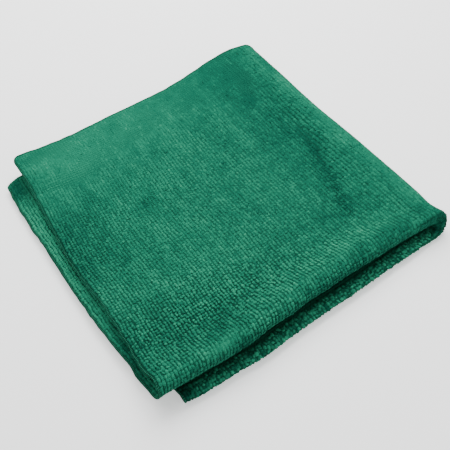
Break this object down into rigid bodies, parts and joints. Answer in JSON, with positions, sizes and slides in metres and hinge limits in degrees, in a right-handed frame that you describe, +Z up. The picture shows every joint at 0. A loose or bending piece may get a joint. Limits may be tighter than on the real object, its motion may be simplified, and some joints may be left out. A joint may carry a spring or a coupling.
{
  "type": "microfibre cloth",
  "caption": "Square knitted microfibre cleaning cloth, folded in half twice into a soft flat pack that lies on a surface.",
  "frame": {"origin": "centre of the folded cloth's box, on the surface that it lies on", "axes": "+Z up through the layers, +X along the front folds to the right fold, +Y from the front folds to the open edges at the back"},
  "size_m": [0.2174, 0.2212, 0.0203],
  "materials": {
    "microfibre": "matt warp-knitted terry pile with a faint sheen"
  },
  "bodies": {
    "root": {"cloth": "microfibre"}
  },
  "joints": []
}
